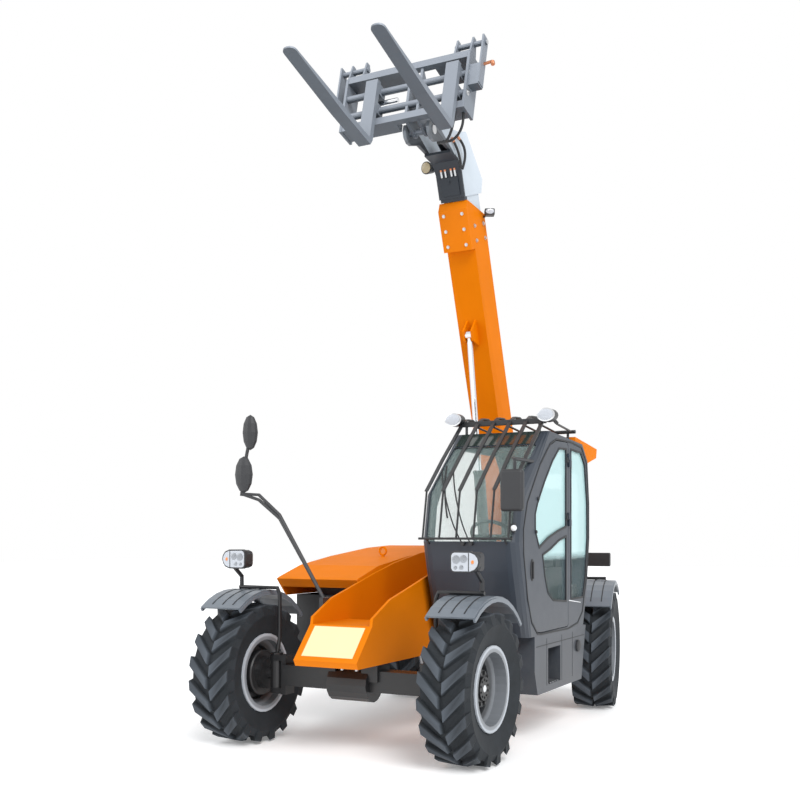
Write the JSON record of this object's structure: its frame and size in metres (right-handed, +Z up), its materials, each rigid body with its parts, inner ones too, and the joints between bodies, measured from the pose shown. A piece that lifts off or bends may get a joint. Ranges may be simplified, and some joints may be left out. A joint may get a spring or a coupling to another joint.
{
  "type": "telehandler",
  "caption": "Compact telescopic handler on rubber tyres, with an offset cab, a raised boom and a pallet fork carriage.",
  "frame": {"origin": "on the ground, under the middle of the resting machine's bounding box", "axes": "+Z up, -Y is the way the machine drives forward, +X is its left side, where the cab is"},
  "size_m": [2.1942, 3.685, 5.0805],
  "materials": {
    "orange_paint": "gloss",
    "orange_hood_paint": "gloss",
    "slate_paint": "satin",
    "slate_plastic": "satin",
    "pale_grey_paint": "satin",
    "fork_steel": "satin",
    "black_paint": "satin",
    "engine_iron": "matt",
    "rim_silver": "satin",
    "tyre_rubber": "matt",
    "chrome_rod": "polished",
    "tinted_glass": "clear tinted",
    "black_plastic": "matt",
    "seat_vinyl": "matt"
  },
  "bodies": {
    "chassis": {"chassis_frame": "orange_paint", "front_axle": "black_paint", "rear_axle": "black_paint", "rear_counterweight": "slate_paint", "rear_light_beam": "black_plastic", "side_tank": "slate_paint", "engine_bay": "black_paint", "engine_block": "engine_iron", "cab_shell": "slate_paint", "windscreen": "tinted_glass", "roof_glass": "tinted_glass", "rear_glass": "tinted_glass", "right_glass": "tinted_glass", "quarter_glass": "tinted_glass", "cab_guard": "black_plastic", "dashboard": "black_plastic", "seat": "seat_vinyl", "left_mirror": "black_plastic", "right_mirror": "black_plastic", "roof_rear_cover": "orange_paint"},
    "boom_outer_body": {"boom_outer": "orange_paint"},
    "boom_inner_body": {"boom_inner": "pale_grey_paint", "boom_neck": "slate_paint", "tilt_barrel": "black_paint"},
    "tilt_rod_body": {"tilt_rod": "chrome_rod"},
    "fork_carriage_body": {"carriage_frame": "fork_steel"},
    "fork_left_body": {"fork_left": "fork_steel"},
    "fork_right_body": {"fork_right": "fork_steel"},
    "lift_barrel_body": {"lift_barrel": "black_paint"},
    "lift_rod_body": {"lift_rod": "chrome_rod"},
    "cab_door_body": {"cab_door": "slate_paint", "door_glass_upper": "tinted_glass", "door_glass_lower": "tinted_glass"},
    "hood_body": {"hood_lid": "orange_hood_paint"},
    "front_left_knuckle_body": {"front_left_knuckle": "black_paint", "front_left_fender": "slate_plastic", "front_left_lamp": "black_plastic"},
    "front_left_wheel": {"front_left_tyre": "tyre_rubber", "front_left_rim": "rim_silver", "front_left_hub": "black_paint"},
    "front_right_knuckle_body": {"front_right_knuckle": "black_paint", "front_right_fender": "slate_plastic", "front_right_lamp": "black_plastic"},
    "front_right_wheel": {"front_right_tyre": "tyre_rubber", "front_right_rim": "rim_silver", "front_right_hub": "black_paint"},
    "rear_left_knuckle_body": {"rear_left_knuckle": "black_paint", "rear_left_fender": "slate_plastic"},
    "rear_left_wheel": {"rear_left_tyre": "tyre_rubber", "rear_left_rim": "rim_silver", "rear_left_hub": "black_paint"},
    "rear_right_knuckle_body": {"rear_right_knuckle": "black_paint", "rear_right_fender": "slate_plastic"},
    "rear_right_wheel": {"rear_right_tyre": "tyre_rubber", "rear_right_rim": "rim_silver", "rear_right_hub": "black_paint"}
  },
  "joints": [
    {"name": "front_left_steer", "type": "hinge", "parent": "chassis", "child": "front_left_knuckle_body", "pos_m": [0.62, -1.3575, 0.485], "axis": [0, 0, 1], "range_deg": [-30, 30]},
    {"name": "front_left_spin", "type": "hinge", "parent": "front_left_knuckle_body", "child": "front_left_wheel", "pos_m": [0.855, -1.3575, 0.485], "axis": [1, 0, 0], "continuous": true},
    {"name": "front_right_steer", "type": "hinge", "parent": "chassis", "child": "front_right_knuckle_body", "pos_m": [-0.62, -1.3575, 0.485], "axis": [0, 0, 1], "range_deg": [-30, 30]},
    {"name": "front_right_spin", "type": "hinge", "parent": "front_right_knuckle_body", "child": "front_right_wheel", "pos_m": [-0.855, -1.3575, 0.485], "axis": [1, 0, 0], "continuous": true},
    {"name": "rear_left_steer", "type": "hinge", "parent": "chassis", "child": "rear_left_knuckle_body", "pos_m": [0.62, 1.1805, 0.485], "axis": [0, 0, 1], "range_deg": [-41.24, 18.76]},
    {"name": "rear_left_spin", "type": "hinge", "parent": "rear_left_knuckle_body", "child": "rear_left_wheel", "pos_m": [0.85049, 1.22631, 0.485], "axis": [0.9808, 0.1949, 0], "continuous": true},
    {"name": "rear_right_steer", "type": "hinge", "parent": "chassis", "child": "rear_right_knuckle_body", "pos_m": [-0.62, 1.1805, 0.485], "axis": [0, 0, 1], "range_deg": [-41.24, 18.76]},
    {"name": "rear_right_spin", "type": "hinge", "parent": "rear_right_knuckle_body", "child": "rear_right_wheel", "pos_m": [-0.85049, 1.13469, 0.485], "axis": [0.9808, 0.1949, 0], "continuous": true},
    {"name": "boom_lift", "type": "hinge", "parent": "chassis", "child": "boom_outer_body", "pos_m": [0, 1.3925, 1.45], "axis": [-1, 0, 0], "range_deg": [-75.8, 0]},
    {"name": "boom_extend", "type": "slide", "parent": "boom_outer_body", "child": "boom_inner_body", "axis": [0, -0.3453, 0.9385], "range_m": [0, 1.8]},
    {"name": "fork_tilt", "type": "hinge", "parent": "boom_inner_body", "child": "fork_carriage_body", "pos_m": [0, -0.38124, 4.45777], "axis": [1, 0, 0], "range_deg": [-70, 64]},
    {"name": "fork_left_slide", "type": "slide", "parent": "fork_carriage_body", "child": "fork_left_body", "axis": [1, 0, 0], "range_m": [-0.15, 0.03]},
    {"name": "fork_right_slide", "type": "slide", "parent": "fork_carriage_body", "child": "fork_right_body", "axis": [1, 0, 0], "range_m": [-0.03, 0.15]},
    {"name": "lift_cylinder_swing", "type": "hinge", "parent": "chassis", "child": "lift_barrel_body", "pos_m": [0, 0.9425, 0.7], "axis": [-1, 0, 0], "range_deg": [-68.4, 0.5]},
    {"name": "lift_cylinder_stroke", "type": "slide", "parent": "lift_barrel_body", "child": "lift_rod_body", "axis": [0, -0.1772, 0.9842], "range_m": [-1.0451, 0.005]},
    {"name": "tilt_cylinder_stroke", "type": "slide", "parent": "boom_inner_body", "child": "tilt_rod_body", "axis": [0, -0.8934, 0.4494], "range_m": [-0.2037, 0.1866]},
    {"name": "cab_door_hinge", "type": "hinge", "parent": "chassis", "child": "cab_door_body", "pos_m": [0.997, 0.10911, 1.5], "axis": [0, 0, 1], "range_deg": [0, 100]},
    {"name": "hood_hinge", "type": "hinge", "parent": "chassis", "child": "hood_body", "pos_m": [0, 1.2625, 1.34], "axis": [-1, 0, 0], "range_deg": [0, 60]}
  ],
  "couplings": [
    {"joint": "front_right_steer", "follows": "front_left_steer", "ratio": 1},
    {"joint": "rear_right_steer", "follows": "rear_left_steer", "ratio": 1},
    {"joint": "fork_right_slide", "follows": "fork_left_slide", "ratio": -1},
    {"joint": "lift_cylinder_swing", "follows": "boom_lift", "ratio": 0.8887},
    {"joint": "lift_cylinder_stroke", "follows": "boom_lift", "m_per_rad": 0.7862},
    {"joint": "tilt_cylinder_stroke", "follows": "fork_tilt", "m_per_rad": 0.1626}
  ]
}
